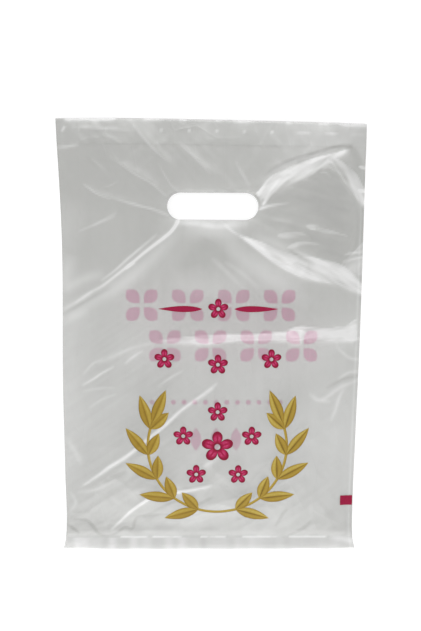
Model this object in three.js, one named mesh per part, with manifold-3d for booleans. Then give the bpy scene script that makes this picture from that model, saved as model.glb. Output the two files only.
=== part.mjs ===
// A plastic carrier bag with a cut-out hand hole, lying on its back with the mouth toward +Y.
// Millimetres, +Z up. The origin is the middle of the back, on the surface that the bag lies on.
import * as THREE from "three";
import { mergeVertices } from "three/addons/utils/BufferGeometryUtils.js";
import Module from "manifold-3d";

const wasm = await Module();
wasm.setup();
const { lerp, smoothstep, degToRad } = THREE.MathUtils;

// Bag: overall size, film and welds
const bagWidth = 250; // between the side folds, at the mouth and at the skirt's edge
const bagLength = 360; // from the mouth's edge to the skirt's edge
const film = 0.4; // thickness of the film
const skirtLength = 10; // two loose plies below the bottom weld
const sealWidth = 2.5; // the weld that closes the bottom
const foldGap = 0.3; // between the plies at the side folds
const foldRound = 0.3; // how far the side folds are rounded off
const hemDepth = 20; // how far the mouth's edge is turned in
const hemGap = 0.3; // between the wall and the turned-in ply
const cornerDrop = 4.2; // how much lower the mouth's right corner lies than its middle
const dropStart = 20; // where along the mouth, from its middle, that drop begins

// Spot welds that hold the turned-in hem
const spotPitch = 22;
const spotRadius = 1.4;
const spotRise = 0.12; // the spot stands this far above the film
const spotBelowMouth = 8.5;
const spotOffset = 4; // the row's middle spot lies this far right of the bag's middle
const spotSideClear = 7; // no spot lies nearer to a side fold

// Hand hole through both plies
const holeWidth = 74;
const holeHeight = 21.5;
const holeBelowMouth = 69; // from the mouth's edge to the hole's centre
const holeOffset = 1.3; // the hole's centre lies this far right of the middle

// How high the front ply stands over the surface, along the middle of the bag
const mouthRise = 7.2;
const shoulderRise = 8.6; // level with the hand hole
const bellyRise = 10.4;
const lowerRise = 9;
const skirtRise = 2.8;
const crownPower = 3.4; // how squarely the bag is filled from side to side
const sidePinch = 3.2; // how far the filled bag draws in its left side at most
const sidePinchRight = 2.6; // the same for its right side

// Grid of the film's surface
const gridColumns = 26;
const bodyRows = 29;
const rimRows = 3;

// Creases of the front ply: where each runs, its half width and its height
const creaseWidth = 6;
const creaseHeight = 1.1;
const puckerPitch = 31; // small gathers along the bottom weld
const puckerHeight = 0.5;
const puckerReach = 14;
const skirtWavePitch = 47;
const skirtWave = 0.7;

// Print: thin fields of colour on the front ply
const ink = 0.2; // thickness of a field
const inkClear = 0.3; // between the film and the field
const printRight = 6; // the print's middle lies this far right of the bag's middle
const wreathRadius = 58;
const wreathAboveSeal = 24; // from the bottom weld to the lowest part of the wreath's stem
const wreathReach = 112; // degrees that each arm turns through from the bottom
const stemWidth = 2.2;
const outerLeafLength = 30;
const innerLeafLength = 21;
const leafWidth = 9.5;
const leavesPerArm = 5;
const leafSplay = 32; // degrees between a leaf and its stem
const blossomSize = 17; // across the petals
const bigBlossomSize = 27;
const petals = 5;
const pointsPerPetal = 5;
const ringBlossoms = 5; // small blossoms round the big one
const ringRadius = 30;
const rowBlossoms = 3; // small blossoms between the divider and the wreath
const rowPitch = 44;
const rowSag = 9; // how much lower the row's middle one stands
const rowAboveWreath = 79; // from the wreath's middle to the row's ends
const dividerAboveWreath = 116; // from the wreath's middle to the plain divider
const dividerLength = 36;
const dividerHeight = 5;
const dividerSpace = 13; // from the divider's middle to where each line starts
const markWidth = 10.5; // the plain register mark at the right side fold
const markHeight = 8.5;
const markAboveSkirt = 43;
const markInset = 1.5;

const mouthY = bagLength / 2;
const skirtY = -bagLength / 2;
const sealY = skirtY + skirtLength;
const hemY = mouthY - hemDepth;
const holeY = mouthY - holeBelowMouth;
const sealRise = 2 * film;
const foldRise = 2 * film + foldGap;
const hemFoldRise = 4 * film + 2 * hemGap + foldGap;

// A smooth curve through pairs of place and value, level past its ends.
function curveThrough(pairs) {
  const places = pairs.map((pair) => pair[0]);
  const values = pairs.map((pair) => pair[1]);
  const curve = new THREE.CubicInterpolant(places, values, 1);
  return (place) => curve.evaluate(place)[0];
}

// The height on the bag at a share of the way from the bottom weld up to the mouth.
const upFromSeal = (share) => lerp(sealY, mouthY, share);

// How far each side fold stands in from the flat bag's edge, from the skirt up to the mouth.
const leftPinch = curveThrough([
  [skirtY, 0],
  [sealY, 0.6 * sidePinch],
  [upFromSeal(0.17), 0.7 * sidePinch],
  [upFromSeal(0.37), 0.55 * sidePinch],
  [upFromSeal(0.72), sidePinch],
  [mouthY, 0],
]);
const rightPinch = curveThrough([
  [skirtY, 0],
  [sealY, 0.7 * sidePinchRight],
  [upFromSeal(0.09), sidePinchRight],
  [upFromSeal(0.26), 0.7 * sidePinchRight],
  [upFromSeal(0.49), 0.2 * sidePinchRight],
  [mouthY, 0],
]);
const leftEdge = (y) => -bagWidth / 2 + leftPinch(y);
const rightEdge = (y) => bagWidth / 2 - rightPinch(y);

// The height of the front ply along the middle, from the skirt's edge up to the mouth.
const middleRise = curveThrough([
  [skirtY, skirtRise],
  [sealY - sealWidth / 2, sealRise + 0.1],
  [sealY, sealRise],
  [sealY + sealWidth / 2, sealRise + 0.1],
  [upFromSeal(0.09), 0.62 * lowerRise],
  [upFromSeal(0.2), lowerRise],
  [upFromSeal(0.49), bellyRise],
  [holeY, shoulderRise],
  [mouthY, mouthRise],
]);

// Each crease is a ridge along points measured from the hand hole's centre, or from the weld's middle.
// They are given for a bag of the drawn size, and spread with the bag.
const drawnWidth = 250;
const drawnLength = 360;
const spread = ([x, y]) => new THREE.Vector2((x * bagWidth) / drawnWidth, (y * bagLength) / drawnLength);
const holeCentre = new THREE.Vector2(holeOffset, holeY);
const sealMiddle = new THREE.Vector2(0, sealY);
const fromHole = (points) => points.map((point) => spread(point).add(holeCentre));
const fromSeal = (points) => points.map((point) => spread(point).add(sealMiddle));
const creases = [
  { path: fromHole([[-31, -13], [-50, -33], [-70, -52], [-92, -69], [-122, -88]]), width: 1, height: 1.3 },
  { path: fromHole([[-24, -20], [-44, -42], [-64, -60], [-84, -76]]), width: 0.8, height: -0.7 },
  { path: fromHole([[10, -13], [24, -28], [42, -40], [61, -52], [82, -67], [110, -76]]), width: 1, height: 1.2 },
  { path: fromHole([[40, -24], [63, -40], [96, -51], [114, -64]]), width: 1.2, height: -0.8 },
  { path: fromHole([[35, 8], [48, 26], [70, 35], [94, 43], [110, 48]]), width: 1, height: 1.3 },
  { path: fromHole([[42, 4], [58, 15], [75, 24], [87, 33], [112, 45]]), width: 0.8, height: -0.7 },
  { path: fromHole([[96, 36], [104, 26], [111, 17], [120, 8]]), width: 0.9, height: 0.8 },
  { path: fromHole([[-104, 16], [-85, 6], [-59, 1], [-37, -4]]), width: 0.8, height: 0.7 },
  { path: fromHole([[-80, 37], [-59, 24], [-39, 10]]), width: 0.8, height: 0.8 },
  { path: fromHole([[-62, 66], [-49, 50], [-35, 33], [-30, 14]]), width: 0.9, height: 0.8 },
  { path: fromHole([[-24, 45], [-7, 30], [14, 17]]), width: 0.8, height: 0.8 },
  { path: fromHole([[52, -24], [66, -21], [90, -19], [101, -25]]), width: 0.9, height: 0.6 },
  { path: fromSeal([[-42, 170], [-9, 172], [25, 175], [66, 176], [118, 174]]), width: 1.1, height: 1 },
  { path: fromSeal([[-104, 135], [-92, 142], [-78, 150]]), width: 0.8, height: 0.6 },
  { path: fromSeal([[90, 116], [100, 124], [113, 129], [124, 134]]), width: 0.9, height: 0.9 },
  { path: fromSeal([[-105, 42], [-78, 61], [-52, 80], [-29, 100], [-8, 123], [12, 146]]), width: 1, height: 1.2 },
  { path: fromSeal([[-100, 34], [-72, 52], [-46, 71]]), width: 0.8, height: -0.6 },
  { path: fromSeal([[-82, 10], [-69, 23], [-53, 34], [-39, 43], [-20, 51]]), width: 0.9, height: 0.8 },
  { path: fromSeal([[-8, 24], [14, 36], [30, 42]]), width: 1.1, height: 0.5 },
];

// The height that one crease adds at a place: a smooth ridge that fades at both ends of its path.
function ridgeAt(crease, x, y) {
  const place = new THREE.Vector2(x, y);
  const legs = crease.path.length - 1;
  let nearest = Infinity;
  let along = 0;
  for (let leg = 0; leg < legs; leg++) {
    const start = crease.path[leg];
    const run = crease.path[leg + 1].clone().sub(start);
    const share = THREE.MathUtils.clamp(place.clone().sub(start).dot(run) / run.lengthSq(), 0, 1);
    const away = start.clone().addScaledVector(run, share).distanceTo(place);
    if (away < nearest) {
      nearest = away;
      along = (leg + share) / legs;
    }
  }
  const fade = 0.35 + 0.65 * Math.sin(Math.PI * along);
  return crease.height * fade * Math.exp(-((nearest / (creaseWidth * crease.width)) ** 2));
}

// The outer height of the front ply at a place on the bag.
function frontHeight(x, y) {
  const left = leftEdge(y);
  const right = rightEdge(y);
  const side = Math.min(1, Math.abs((2 * x - left - right) / (right - left)));
  const middle = middleRise(y);
  const edge = Math.min(lerp(foldRise, hemFoldRise, smoothstep(y, hemY - hemDepth, hemY)), middle);
  const crown = 1 - side ** crownPower;
  const offWeld = Math.abs(y - sealY) - sealWidth / 2;
  const calm = smoothstep(1 - side, 0, 0.16) * smoothstep(offWeld, 2, 34);
  const folds = creases.reduce((sum, crease) => sum + ridgeAt(crease, x, y), 0);
  let height = edge + (middle - edge) * crown + creaseHeight * calm * folds;
  const gathered = smoothstep(1 - side, 0, 0.1) * smoothstep(offWeld, 0, 5);
  if (y > sealY) {
    const wave = Math.cos((2 * Math.PI * x) / puckerPitch) * Math.cos((2 * Math.PI * x) / (4.3 * puckerPitch));
    height += puckerHeight * gathered * (1 + wave) * Math.exp(-((offWeld / puckerReach) ** 2));
  } else {
    height += (skirtWave * gathered * (1 + Math.sin((2 * Math.PI * x) / skirtWavePitch))) / 2;
  }
  return height;
}

// Where the rows of the film's grid lie, from the skirt's edge up to the mouth.
const rowsBetween = (from, to, count) =>
  Array.from({ length: count }, (_, step) => lerp(from, to, step / count));
const weldTop = sealY + sealWidth / 2;
const weldFoot = sealY - sealWidth / 2;
const gatherTop = weldTop + puckerReach;
const skirtRowPlaces = [...rowsBetween(skirtY, weldFoot, rimRows), weldFoot];
const bodyRowPlaces = [
  weldTop,
  ...rowsBetween(weldTop, gatherTop, rimRows).slice(1),
  ...rowsBetween(gatherTop, hemY, bodyRows),
];
const hemRowPlaces = [...rowsBetween(hemY, mouthY, rimRows), mouthY];

// A place on the front ply: its column runs from 0 at the left fold to 1 at the right one.
function placeOn(column, row, sideInset) {
  const left = leftEdge(row) + sideInset;
  const right = rightEdge(row) - sideInset;
  const straight = lerp(leftEdge(row), rightEdge(row), column);
  const x = THREE.MathUtils.clamp(straight, left, right);
  const toCorner = THREE.MathUtils.clamp((x - dropStart) / (bagWidth / 2 - dropStart), 0, 1);
  const drop = cornerDrop * toCorner ** 1.8 * smoothstep(row, hemY - hemDepth, mouthY);
  return new THREE.Vector3(x, row - drop, frontHeight(x, row));
}

// A closed body between the front ply's surface, lowered by a depth, and a flat face below it.
// Its side walls run straight down, or bulge by the round so that their middle stands proud.
// Its columns are shifted by a share of their width, so that its edges meet no other body's edges.
function bodyUnder({ rows, sideInset, depth, floor, round = 0, shift = 0 }) {
  const vertices = [];
  const faces = [];
  const addVertex = (point) => vertices.push(point) - 1;
  const columns = Array.from({ length: gridColumns }, (_, column) => (column + shift) / gridColumns);
  if (shift) columns.unshift(0);
  columns.push(1);
  const across = columns.length - 1;
  const last = rows.length - 1;
  const top = rows.map((row) =>
    columns.map((column) => {
      const point = placeOn(column, row, sideInset + round);
      return addVertex(point.setZ(point.z - depth));
    }),
  );
  for (let row = 0; row < last; row++)
    for (let column = 0; column < across; column++) {
      const [a, b] = [top[row][column], top[row][column + 1]];
      const [d, c] = [top[row + 1][column], top[row + 1][column + 1]];
      if ((row + column) % 2) faces.push([a, b, c], [a, c, d]);
      else faces.push([a, b, d], [b, c, d]);
    }
  // The rim runs once round the top, counterclockwise from above, and is repeated further down.
  const rim = [
    ...top[0],
    ...top.slice(1, last).map((line) => line[across]),
    ...top[last].toReversed(),
    ...top.slice(1, last).map((line) => line[0]).reverse(),
  ];
  const lefts = top.map((line) => line[0]);
  const rights = top.map((line) => line[across]);
  const sideOf = (vertex) => rights.includes(vertex) - lefts.includes(vertex);
  const ringAt = (share, bulge) =>
    rim.map((vertex) => {
      const { x, y, z } = vertices[vertex];
      return addVertex(new THREE.Vector3(x + sideOf(vertex) * bulge, y, lerp(floor, z, share)));
    });
  const rings = round ? [rim, ringAt(0.5, round), ringAt(0, 0)] : [rim, ringAt(0, 0)];
  for (let ring = 0; ring < rings.length - 1; ring++)
    rim.forEach((_, place) => {
      const next = (place + 1) % rim.length;
      const [a, b] = [rings[ring][place], rings[ring][next]];
      const [d, c] = [rings[ring + 1][place], rings[ring + 1][next]];
      faces.push([b, a, d], [b, d, c]);
    });
  // The flat face: one strip of two triangles for each row, and a fan at each end.
  const foot = rings[rings.length - 1];
  const below = (vertex) => foot[rim.indexOf(vertex)];
  for (let row = 1; row < last - 1; row++) {
    const [a, b] = [below(lefts[row]), below(rights[row])];
    const [d, c] = [below(lefts[row + 1]), below(rights[row + 1])];
    faces.push([a, c, b], [a, d, c]);
  }
  const fan = (apex, points) => {
    for (let place = 0; place < points.length - 1; place++)
      faces.push([below(apex), below(points[place + 1]), below(points[place])]);
  };
  fan(lefts[1], [...top[0], rights[1]]);
  fan(lefts[last - 1], [rights[last - 1], ...top[last].toReversed()]);
  return new wasm.Manifold(
    new wasm.Mesh({
      numProp: 3,
      vertProperties: new Float32Array(vertices.flatMap((point) => point.toArray())),
      triVerts: new Uint32Array(faces.flat()),
    }),
  );
}

// The solid of a three.js geometry whose faces close on themselves.
function solidOf(geometry) {
  const bare = geometry.clone().deleteAttribute("normal").deleteAttribute("uv");
  const merged = mergeVertices(bare, 1e-4);
  return new wasm.Manifold(
    new wasm.Mesh({
      numProp: 3,
      vertProperties: merged.attributes.position.array,
      triVerts: new Uint32Array(merged.index.array),
    }),
  );
}

// The named mesh of a solid.
function meshOf(name, solid, material) {
  const { numProp, vertProperties, triVerts } = solid.getMesh();
  const positions = new Float32Array((vertProperties.length / numProp) * 3);
  for (let vertex = 0; vertex * 3 < positions.length; vertex++)
    positions.set(vertProperties.subarray(vertex * numProp, vertex * numProp + 3), vertex * 3);
  const geometry = new THREE.BufferGeometry();
  geometry.setAttribute("position", new THREE.BufferAttribute(positions, 3));
  geometry.setIndex(new THREE.BufferAttribute(new Uint32Array(triVerts), 1));
  geometry.computeVertexNormals();
  const mesh = new THREE.Mesh(geometry, material);
  mesh.name = name;
  return mesh;
}

// An upright prism over a flat outline, between two heights.
function prism(shape, low, high, curveSegments = 6) {
  const geometry = new THREE.ExtrudeGeometry(shape, {
    depth: high - low,
    bevelEnabled: false,
    curveSegments,
  });
  return solidOf(geometry.translate(0, 0, low));
}

// Outline of the hand hole, with round ends.
function holeShape() {
  const radius = holeHeight / 2;
  const straight = holeWidth / 2 - radius;
  const shape = new THREE.Shape();
  shape.absarc(holeOffset + straight, holeY, radius, -Math.PI / 2, Math.PI / 2);
  shape.absarc(holeOffset - straight, holeY, radius, Math.PI / 2, (3 * Math.PI) / 2);
  return shape;
}

// Spot welds stand in a row across the front and the back, through the wall and the turned-in ply.
function spotWelds() {
  const reach = bagWidth / 2 - spotSideClear - Math.abs(spotOffset);
  const most = Math.floor(reach / spotPitch);
  const welds = [];
  for (let place = -most; place <= most; place++) {
    const x = place * spotPitch + spotOffset;
    const y = mouthY - spotBelowMouth;
    const shape = new THREE.Shape().absarc(x, y, spotRadius, 0, 2 * Math.PI);
    const top = frontHeight(x, y) + spotRise;
    const join = 2 * film + hemGap;
    welds.push(prism(shape, top - spotRise - join + film / 4, top, 3));
    welds.push(prism(shape, film / 2, join - film / 4, 3));
  }
  return welds;
}

// The bag: outer body, less its inside, less the skirt's inside, with the mouth's edge turned in.
function bagSolid() {
  const allRows = [...skirtRowPlaces, ...bodyRowPlaces, ...hemRowPlaces];
  const pastMouth = mouthY + hemGap + cornerDrop;
  const pastSkirt = skirtY - hemGap;
  const upToRim = [...hemRowPlaces.slice(0, -1), mouthY - film];
  const outside = bodyUnder({ rows: allRows, sideInset: 0, depth: 0, floor: 0, round: foldRound });
  const inside = bodyUnder({
    rows: [...bodyRowPlaces, ...upToRim],
    sideInset: film,
    depth: film,
    floor: film,
  });
  const skirtInside = bodyUnder({
    rows: [pastSkirt, ...skirtRowPlaces],
    sideInset: film,
    depth: film,
    floor: film,
    shift: 0.5,
  });
  const hemOutside = bodyUnder({
    rows: [...hemRowPlaces.slice(0, -1), mouthY - film / 2],
    sideInset: film + hemGap,
    depth: film + hemGap,
    floor: film + hemGap,
    shift: 0.35,
  });
  const hemInside = bodyUnder({
    rows: [hemY - film, ...hemRowPlaces, pastMouth],
    sideInset: 2 * film + hemGap,
    depth: 2 * film + hemGap,
    floor: 2 * film + hemGap,
    shift: 0.7,
  });
  const handHole = prism(holeShape(), -1, 2 * bellyRise, 8);
  const walls = outside.subtract(inside).subtract(skirtInside);
  const withHem = spotWelds().reduce((whole, weld) => whole.add(weld), walls.add(hemOutside));
  return withHem.subtract(hemInside).subtract(handHole);
}

// The space just over the front ply that the print's fields fill.
function inkLayer() {
  const rows = [...bodyRowPlaces, ...hemRowPlaces];
  const over = bodyUnder({ rows, sideInset: 0, depth: -inkClear - ink, floor: film });
  const under = bodyUnder({ rows, sideInset: -1, depth: -inkClear, floor: 0 });
  return over.subtract(under);
}

// A pointed leaf that grows from the origin along +X.
function leafShape(length, width) {
  const shape = new THREE.Shape();
  shape.moveTo(0, 0);
  shape.quadraticCurveTo(0.4 * length, -width, length, 0);
  shape.quadraticCurveTo(0.4 * length, width, 0, 0);
  return shape;
}

// The gold wreath: one round stem, open at the top, with leaves in pairs up both arms.
function wreathSolid(centre) {
  const low = 0;
  const high = 3 * bellyRise;
  const bottom = -Math.PI / 2;
  const reach = degToRad(wreathReach);
  const tipOverlap = stemWidth / (2 * wreathRadius);
  const stem = new THREE.Shape();
  stem.absarc(centre.x, centre.y, wreathRadius + stemWidth / 2, bottom - reach, bottom + reach);
  stem.absarc(centre.x, centre.y, wreathRadius - stemWidth / 2, bottom + reach, bottom - reach, true);
  let whole = prism(stem, low, high, 12);
  const addLeaf = (angle, direction, length) => {
    const root = new THREE.Vector2(Math.cos(angle), Math.sin(angle)).multiplyScalar(wreathRadius);
    const leaf = new THREE.ExtrudeGeometry(leafShape(length, leafWidth), {
      depth: high - low,
      bevelEnabled: false,
      curveSegments: 4,
    });
    leaf.rotateZ(direction).translate(centre.x + root.x, centre.y + root.y, low);
    whole = whole.add(solidOf(leaf));
  };
  for (const arm of [-1, 1]) {
    for (let pair = 0; pair < leavesPerArm; pair++) {
      const angle = bottom + (arm * reach * (pair + 0.7)) / leavesPerArm;
      const growth = angle + (arm * Math.PI) / 2;
      addLeaf(angle, growth - arm * degToRad(leafSplay), outerLeafLength);
      addLeaf(angle, growth + arm * degToRad(leafSplay), innerLeafLength);
    }
    const tip = bottom + arm * reach;
    addLeaf(tip - arm * tipOverlap, tip + (arm * Math.PI) / 2, outerLeafLength);
  }
  return whole;
}

// A blossom with round petals about a small open middle.
function blossomShape(centre, size, turn) {
  const outline = Array.from({ length: petals * pointsPerPetal }, (_, step) => {
    const angle = (2 * Math.PI * step) / (petals * pointsPerPetal);
    const lobe = Math.abs(Math.cos((petals * angle) / 2)) ** 0.7;
    const radius = (size / 2) * (0.4 + 0.6 * lobe);
    return new THREE.Vector2(
      centre.x + radius * Math.cos(angle + turn),
      centre.y + radius * Math.sin(angle + turn),
    );
  });
  const shape = new THREE.Shape(outline);
  shape.holes.push(new THREE.Path().absarc(centre.x, centre.y, size / 11, 0, 2 * Math.PI, true));
  return shape;
}

// A drop that is round near the divider's middle and runs out to a long point.
function dividerShape(middle, side) {
  const start = middle.x + side * dividerSpace;
  const run = side * dividerLength;
  const shape = new THREE.Shape();
  shape.moveTo(start, middle.y);
  shape.quadraticCurveTo(start + 0.3 * run, middle.y - side * dividerHeight, start + run, middle.y);
  shape.quadraticCurveTo(start + 0.3 * run, middle.y + side * dividerHeight, start, middle.y);
  return shape;
}

// The register mark, cut off square at the right side fold.
function markShape() {
  const low = skirtY + markAboveSkirt - markHeight / 2;
  const right = rightEdge(low) - markInset;
  const shape = new THREE.Shape();
  shape.moveTo(right - markWidth, low);
  shape.lineTo(right, low);
  shape.lineTo(right, low + markHeight);
  shape.lineTo(right - markWidth, low + markHeight);
  return shape;
}

const filmMaterial = new THREE.MeshStandardMaterial({
  color: 0xe6e6e4,
  roughness: 0.35,
  metalness: 0,
  transparent: true,
  opacity: 0.8,
});
const goldInk = new THREE.MeshStandardMaterial({ color: 0xb59338, roughness: 0.5, metalness: 0 });
const crimsonInk = new THREE.MeshStandardMaterial({ color: 0xb31c50, roughness: 0.5, metalness: 0 });

const bag = new THREE.Group();
bag.add(meshOf("bag", bagSolid(), filmMaterial));

const print = new THREE.Group();
const layer = inkLayer();
const wreathCentre = new THREE.Vector2(printRight, sealY + wreathAboveSeal + wreathRadius);
print.add(meshOf("print_wreath", layer.intersect(wreathSolid(wreathCentre)), goldInk));

const inkField = (shape) => layer.intersect(prism(shape, 0, 3 * bellyRise));
const dividerMiddle = wreathCentre.clone().add(new THREE.Vector2(0, dividerAboveWreath));
print.add(meshOf("print_divider_left", inkField(dividerShape(dividerMiddle, -1)), crimsonInk));
print.add(meshOf("print_divider_right", inkField(dividerShape(dividerMiddle, 1)), crimsonInk));
print.add(meshOf("print_register_mark", inkField(markShape()), crimsonInk));

// Blossoms: one in the divider, a big one amid the wreath with a ring round it, and a row above.
const blossoms = [
  { centre: dividerMiddle, size: blossomSize },
  { centre: wreathCentre, size: bigBlossomSize },
];
for (let place = 0; place < ringBlossoms; place++) {
  const angle = Math.PI / 2 + (2 * Math.PI * place) / ringBlossoms;
  const away = new THREE.Vector2(Math.cos(angle), Math.sin(angle)).multiplyScalar(ringRadius);
  blossoms.push({ centre: wreathCentre.clone().add(away), size: blossomSize });
}
for (let place = 0; place < rowBlossoms; place++) {
  const fromMiddle = place - (rowBlossoms - 1) / 2;
  const sag = rowSag * Math.cos((Math.PI * fromMiddle) / rowBlossoms);
  const away = new THREE.Vector2(fromMiddle * rowPitch, rowAboveWreath - sag);
  blossoms.push({ centre: wreathCentre.clone().add(away), size: blossomSize });
}
blossoms.forEach(({ centre, size }, place) => {
  const field = inkField(blossomShape(centre, size, Math.PI / 2));
  print.add(meshOf("print_blossom_" + (place + 1), field, crimsonInk));
});
bag.add(print);

export default bag;
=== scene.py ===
# A plastic carrier bag laid flat, with its print, the floor, the lights and the camera.
# Shapes are worked out in millimetres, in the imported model's frame, and stored in metres.
import math

import bpy
import numpy as np
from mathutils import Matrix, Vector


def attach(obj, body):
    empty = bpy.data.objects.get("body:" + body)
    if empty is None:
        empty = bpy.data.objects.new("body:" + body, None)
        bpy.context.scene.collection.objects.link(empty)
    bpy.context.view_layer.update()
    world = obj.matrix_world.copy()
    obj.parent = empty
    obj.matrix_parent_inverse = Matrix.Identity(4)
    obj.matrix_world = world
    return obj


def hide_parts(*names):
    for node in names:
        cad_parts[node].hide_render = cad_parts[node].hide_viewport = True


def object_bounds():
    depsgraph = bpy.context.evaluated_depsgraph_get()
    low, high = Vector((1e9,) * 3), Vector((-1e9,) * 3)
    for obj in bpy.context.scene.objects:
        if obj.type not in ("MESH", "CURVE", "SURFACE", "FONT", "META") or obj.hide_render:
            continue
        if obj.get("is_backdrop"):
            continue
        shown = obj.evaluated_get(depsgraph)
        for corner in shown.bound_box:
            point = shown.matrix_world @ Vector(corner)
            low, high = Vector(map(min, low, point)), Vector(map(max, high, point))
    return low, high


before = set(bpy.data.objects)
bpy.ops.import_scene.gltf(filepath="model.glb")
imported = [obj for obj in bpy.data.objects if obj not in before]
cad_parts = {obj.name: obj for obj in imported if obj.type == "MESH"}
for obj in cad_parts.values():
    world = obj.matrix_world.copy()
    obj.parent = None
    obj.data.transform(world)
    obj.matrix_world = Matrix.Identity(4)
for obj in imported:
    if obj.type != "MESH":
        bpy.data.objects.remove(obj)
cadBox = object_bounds()
print("stage: the packed model is loaded")

metre = 0.001  # one millimetre
tau = 2 * math.pi



def smoothStep(value, low, high):
    # 0 below low, 1 above high, and 3t^2 - 2t^3 between them
    t = np.clip((value - low) / (high - low), 0, 1)
    return t * t * (3 - 2 * t)


def mix(low, high, share):
    return low + (high - low) * share


def curveThrough(pairs):
    # A cubic between each two places, whose slope at a place is the mean of the slopes beside it
    places, values = np.array(pairs, float).T
    steps = np.diff(values) / np.diff(places)
    slopes = np.concatenate([steps[:1], (steps[1:] + steps[:-1]) / 2, steps[-1:]])

    def valueAt(place):
        place = np.clip(place, places[0], places[-1])
        k = np.clip(np.searchsorted(places, place, side="right") - 1, 0, len(places) - 2)
        run = places[k + 1] - places[k]
        t = (place - places[k]) / run
        ends = (1 + 2 * t) * (1 - t) ** 2 * values[k] + t * t * (3 - 2 * t) * values[k + 1]
        return ends + run * (t * (1 - t) ** 2 * slopes[k] + t * t * (t - 1) * slopes[k + 1])

    return valueAt


def smoothPath(points, stepsPerLeg=5):
    # The points are joined by a curve through them all, by the share of the way along
    points = np.array(points, float)
    legs = len(points) - 1
    place = np.linspace(0, legs, legs * stepsPerLeg + 1)
    columns = [curveThrough(list(zip(range(legs + 1), points[:, axis])))(place) for axis in (0, 1)]
    return np.stack(columns, 1)


def pathField(path, x, y):
    # For each place: distance to the nearest leg, +1 left or -1 right of it, and the share along
    nearest = np.full(x.shape, np.inf)
    side = np.ones(x.shape)
    along = np.zeros(x.shape)
    legs = len(path) - 1
    for leg in range(legs):
        start, run = path[leg], path[leg + 1] - path[leg]
        share = np.clip(((x - start[0]) * run[0] + (y - start[1]) * run[1]) / (run @ run), 0, 1)
        dx, dy = x - start[0] - share * run[0], y - start[1] - share * run[1]
        away = np.hypot(dx, dy)
        closer = away < nearest
        nearest = np.where(closer, away, nearest)
        side = np.where(closer, np.where(run[0] * dy - run[1] * dx >= 0, 1.0, -1.0), side)
        along = np.where(closer, (leg + share) / legs, along)
    return nearest, side, along


def valueNoise(x, y, seed):
    # Random values on a lattice of unit cells, blended smoothly inside each cell, from -1 to 1
    table = np.random.default_rng(seed).uniform(-1, 1, (64, 64))
    ix, iy = np.floor(x).astype(int), np.floor(y).astype(int)
    fx, fy = x - ix, y - iy
    fx, fy = fx * fx * (3 - 2 * fx), fy * fy * (3 - 2 * fy)
    corner = lambda a, b: table[(ix + a) % 64, (iy + b) % 64]
    return mix(mix(corner(0, 0), corner(1, 0), fx), mix(corner(0, 1), corner(1, 1), fx), fy)


def streaks(x, y, angle, length, width, seed):
    # Noise whose cells are long along a direction and narrow across it
    c, s = math.cos(math.radians(angle)), math.sin(math.radians(angle))
    return valueNoise((x * c + y * s) / length + 17.3, (y * c - x * s) / width + 9.1, seed)


bag = {
    "width": 250, "length": 360,  # between the side folds, and from the mouth to the skirt's edge
    "skirt": 10, "sealWidth": 2.5,  # below the bottom weld, and the weld itself
    "hemDepth": 20, "hemGap": 0.45, "rimRound": 0.55,  # the turned-in mouth
    "foldRound": 0.6, "foldRise": 1.1, "hemFoldRise": 2.5,  # the side folds
    "cornerDrop": 2.8, "dropStart": -80, "dropPower": 1.15,  # the mouth slopes to its right corner
    "holeWidth": 74, "holeHeight": 21.5, "holeBelowMouth": 69, "holeOffset": 1.3,
    "holeLip": 0.35, "lipReach": 2.2,  # how far the film curls up round the hand hole
    "mouthRise": 7.2, "shoulderRise": 8.6, "bellyRise": 10.4, "lowerRise": 9, "skirtRise": 2.8,
    "sealRise": 0.8, "crownPower": 3.4,  # how squarely the bag is filled
    "pinchLeft": 3.2, "pinchRight": 2.6,  # how far the filled bag draws in its sides
    "ridgeWidth": 6, "ridgeHeight": 0.5,  # broad folds of the front
    "puckerPitch": 31, "puckerHeight": 0.5, "puckerReach": 14,
    "skirtWavePitch": 47, "skirtWave": 0.7,
    "frontColumns": 200, "foldSteps": 5, "rowPitch": 1.33,
    "backStep": 4.0, "backStepAtHole": 1.3,
    # The two hem values here are painted light that whitens the hem
    "crinkles": 130, "crinkleSeed": 11, "hemPaintedLight": 0.7, "hemEdgePaintedLight": 0.22, "bandGrain": 0.55, "bandSoft": 1.3,
}
mouthY, skirtY = bag["length"] / 2, -bag["length"] / 2
sealY, hemY = skirtY + bag["skirt"], mouthY - bag["hemDepth"]
holeX, holeY = bag["holeOffset"], mouthY - bag["holeBelowMouth"]
halfSeal = bag["sealWidth"] / 2


def upFromSeal(share):
    return mix(sealY, mouthY, share)


pinchLeft = curveThrough([
    (skirtY, 0), (sealY, 0.6), (upFromSeal(0.17), 0.7), (upFromSeal(0.37), 0.55),
    (upFromSeal(0.72), 1), (mouthY, 0)])
pinchRight = curveThrough([
    (skirtY, 0), (sealY, 0.7), (upFromSeal(0.09), 1), (upFromSeal(0.26), 0.7),
    (upFromSeal(0.49), 0.2), (mouthY, 0)])
middleRise = curveThrough([
    (skirtY, bag["skirtRise"]), (sealY - halfSeal, bag["sealRise"] + 0.1), (sealY, bag["sealRise"]),
    (sealY + halfSeal, bag["sealRise"] + 0.1), (upFromSeal(0.09), 0.62 * bag["lowerRise"]),
    (upFromSeal(0.2), bag["lowerRise"]), (upFromSeal(0.49), bag["bellyRise"]),
    (holeY, bag["shoulderRise"]), (mouthY, bag["mouthRise"])])


def leftEdge(y):
    return -bag["width"] / 2 + bag["pinchLeft"] * pinchLeft(y)


def rightEdge(y):
    return bag["width"] / 2 - bag["pinchRight"] * pinchRight(y)


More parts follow.
